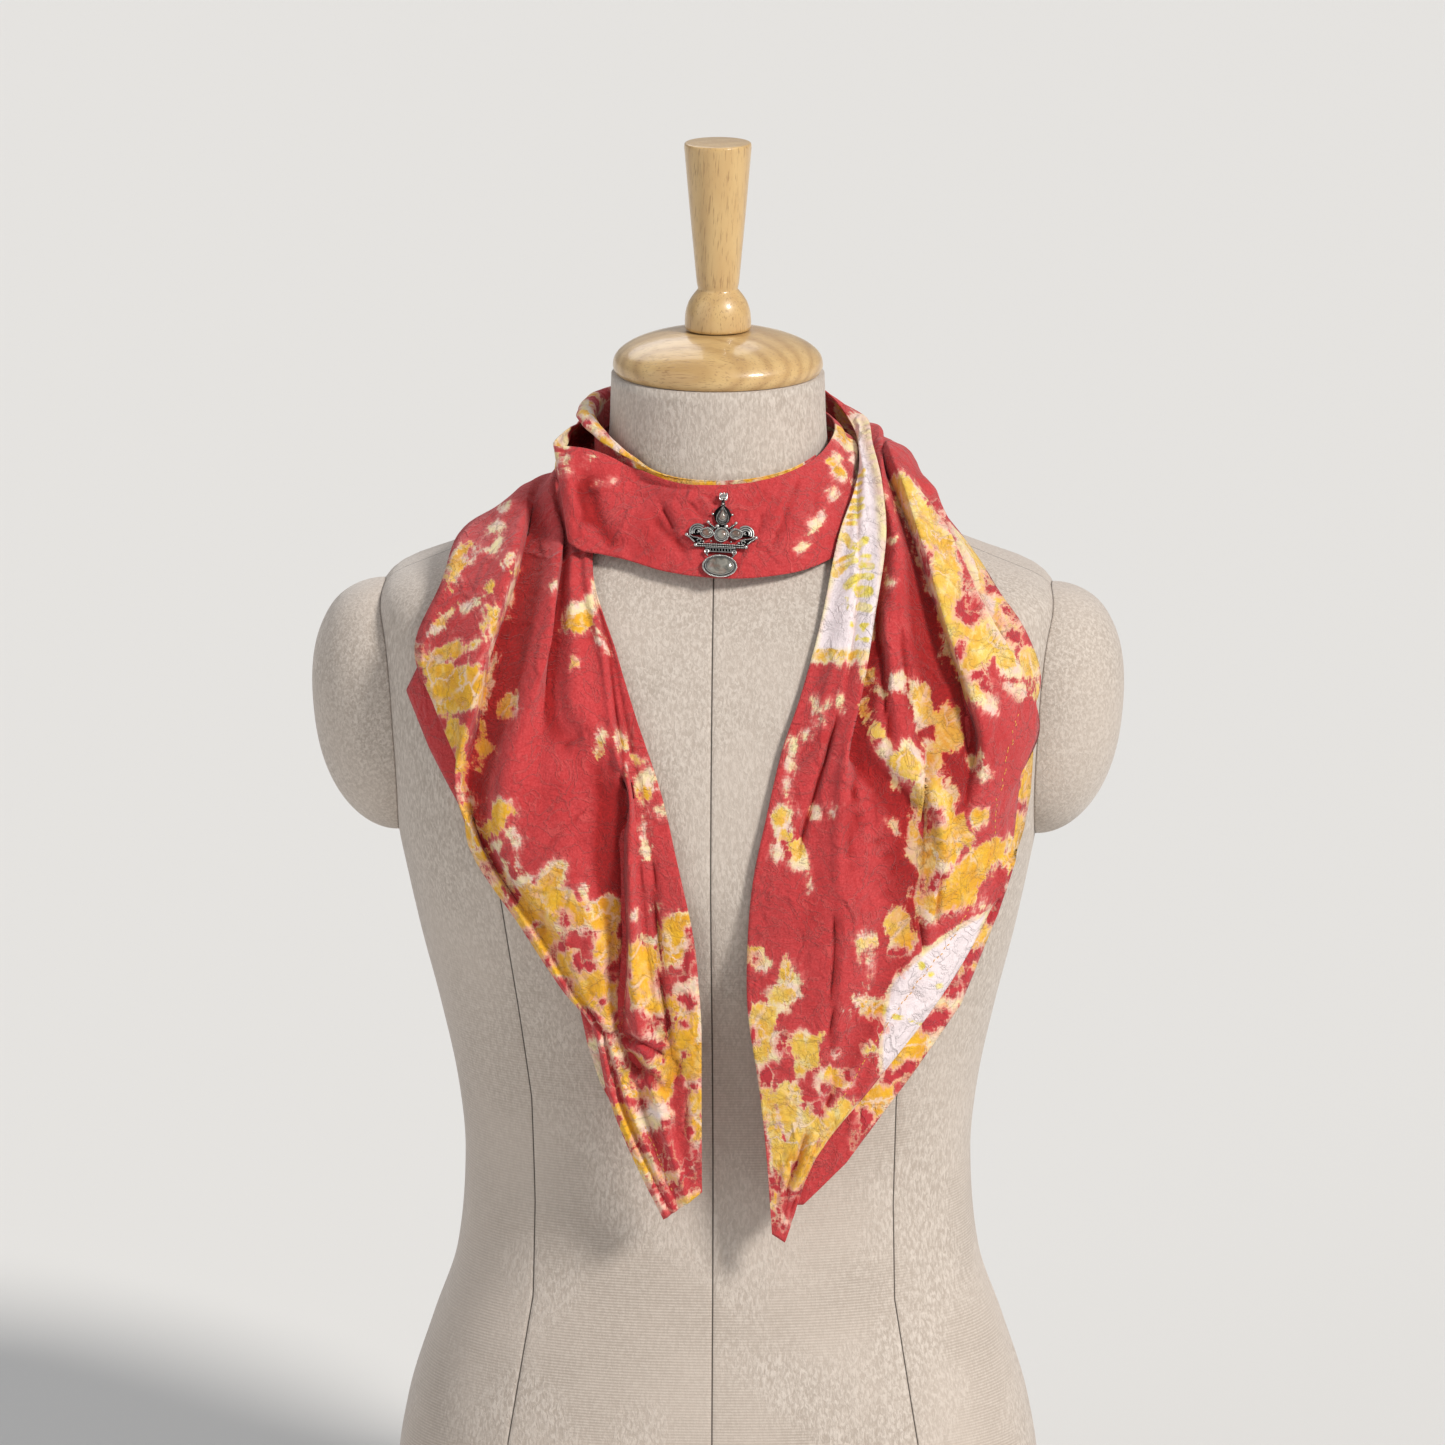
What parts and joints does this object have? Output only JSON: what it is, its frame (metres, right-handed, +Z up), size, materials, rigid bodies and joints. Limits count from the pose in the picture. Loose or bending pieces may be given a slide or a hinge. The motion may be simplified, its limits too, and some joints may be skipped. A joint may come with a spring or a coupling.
{
  "type": "scarf with brooch on a dress form",
  "caption": "Tie-dyed cotton scarf folded to a band round the neck of a limbless dress form, its tails hanging in folds, with a stone-set metal brooch on the band.",
  "frame": {"origin": "middle of the form's flat underside, below the neck's axis", "axes": "+Z up, the front faces -Y, +X to the right seen from the front"},
  "size_m": [0.4472, 0.2632, 0.8279],
  "materials": {
    "form_cover": "beige-grey velvety stretch cover",
    "varnished_wood": "pale turned wood, glossy varnish",
    "dyed_cotton": "thin plain-woven cotton, tie-dyed coral red with yellow and cream patches",
    "dyed_cotton_gold": "the same cotton where mostly yellow shows",
    "dark_silver": "silver-coloured alloy, oxidised dark in the hollows",
    "grey_stone": "polished grey glass cabochon"
  },
  "bodies": {
    "root": {"form_body": "form_cover", "form_shoulder_left": "form_cover", "form_shoulder_right": "form_cover", "neck_cap": "varnished_wood", "neck_handle": "varnished_wood", "scarf_under_left": "dyed_cotton", "scarf_under_right": "dyed_cotton_gold", "scarf_tail_left": "dyed_cotton", "scarf_nape_inner": "dyed_cotton", "scarf_inner_fold": "dyed_cotton_gold", "scarf_band": "dyed_cotton", "scarf_nape_outer": "dyed_cotton", "scarf_tail_right": "dyed_cotton", "brooch_setting_centre": "dark_silver", "brooch_setting_leaf_left": "dark_silver", "brooch_setting_leaf_right": "dark_silver", "brooch_setting_drop": "dark_silver", "brooch_setting_oval": "dark_silver", "brooch_stone_centre": "grey_stone", "brooch_stone_leaf_left": "grey_stone", "brooch_stone_leaf_right": "grey_stone", "brooch_stone_drop": "grey_stone", "brooch_stone_oval": "grey_stone", "brooch_bar": "dark_silver", "brooch_rail": "dark_silver", "brooch_yoke": "dark_silver", "brooch_neck": "dark_silver", "brooch_bail": "dark_silver", "brooch_arm_left": "dark_silver", "brooch_arm_right": "dark_silver", "brooch_fan_left": "dark_silver", "brooch_fan_right": "dark_silver", "brooch_leg_left": "dark_silver", "brooch_leg_right": "dark_silver"}
  },
  "joints": []
}
